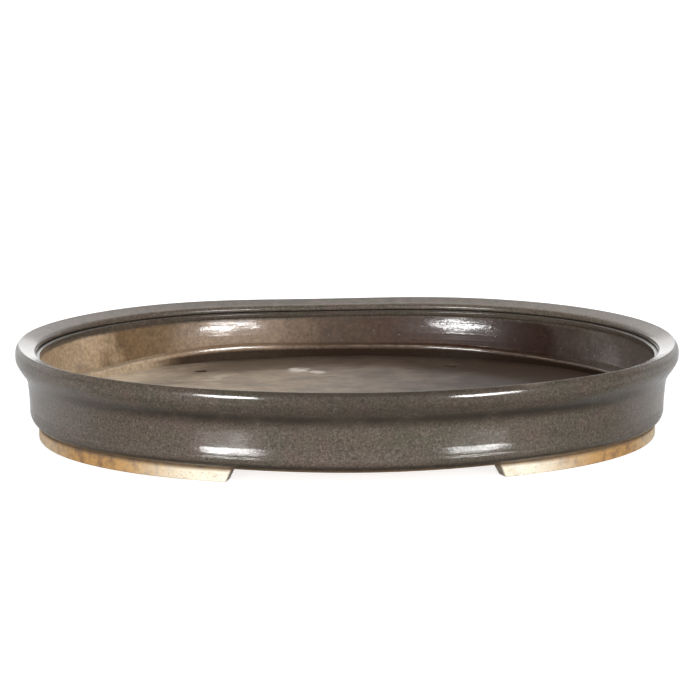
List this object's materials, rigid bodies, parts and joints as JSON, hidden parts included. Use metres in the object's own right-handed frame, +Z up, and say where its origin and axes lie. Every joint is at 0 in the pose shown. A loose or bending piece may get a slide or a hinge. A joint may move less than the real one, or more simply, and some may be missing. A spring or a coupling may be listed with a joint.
{
  "type": "oval bonsai pot",
  "caption": "Shallow oval bonsai tray in dark glazed stoneware, with a swelling lip over an upright wall, a drained floor and a low bare clay foot round each end.",
  "frame": {"origin": "on the ground, under the middle of the pot", "axes": "+X along the pot's length to the right as seen from the front, +Y across it to the back, +Z up"},
  "size_m": [0.33, 0.256, 0.0465],
  "materials": {
    "outer_glaze": "satin grey-brown glaze",
    "inner_glaze": "uneven brown glaze",
    "bare_clay": "bare fired clay"
  },
  "bodies": {
    "root": {"floor_slab": "inner_glaze", "wall_band": "outer_glaze", "rim_lip": "outer_glaze", "corner_coil": "inner_glaze", "left_foot": "bare_clay", "right_foot": "bare_clay"}
  },
  "joints": []
}
